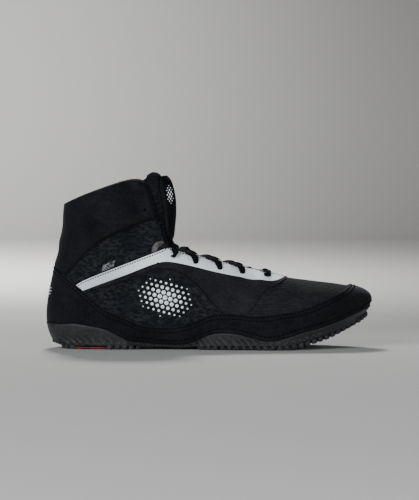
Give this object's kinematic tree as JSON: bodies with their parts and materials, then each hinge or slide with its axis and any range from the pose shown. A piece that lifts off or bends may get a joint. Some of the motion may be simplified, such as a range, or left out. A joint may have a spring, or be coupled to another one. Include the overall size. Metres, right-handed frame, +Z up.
{
  "type": "wrestling shoe",
  "caption": "Right-foot high-top wrestling shoe with a thin wavy lugged rubber sole, padded tongue, laced throat and open ankle collar.",
  "frame": {"origin": "centre of the box round the whole shoe, at the height of the floor it stands on", "axes": "+X towards the toe, +Y towards the inner (medial) side of the foot, +Z up"},
  "size_m": [0.2848, 0.0958, 0.1533],
  "materials": {
    "upper_mesh": "dark knitted mesh",
    "sole_rubber": "matt dark grey rubber",
    "heel_rubber_red": "matt red rubber",
    "insole_lining": "brushed lining cloth",
    "tongue_cloth": "padded soft cloth",
    "flap_smooth": "smooth black synthetic",
    "cuff_suede": "black synthetic suede",
    "foxing_suede": "black synthetic suede",
    "panel_suede": "black synthetic suede",
    "stripe_reflective": "silver reflective film",
    "lace_cord": "woven black lace",
    "tag_woven": "plain woven tag"
  },
  "bodies": {
    "root": {"upper": "upper_mesh", "outsole": "sole_rubber", "heel_insert": "heel_rubber_red", "insole": "insole_lining", "tongue": "tongue_cloth", "tongue_flap": "flap_smooth", "cuff": "cuff_suede", "foxing": "foxing_suede", "panel_lateral": "panel_suede", "panel_medial": "panel_suede", "stripe_lateral": "stripe_reflective", "stripe_medial": "stripe_reflective", "side_tag": "tag_woven", "lace_bar": "lace_cord", "lace_crossing_1": "lace_cord", "lace_crossing_2": "lace_cord", "lace_crossing_3": "lace_cord", "lace_crossing_4": "lace_cord", "lace_top": "lace_cord"}
  },
  "joints": []
}
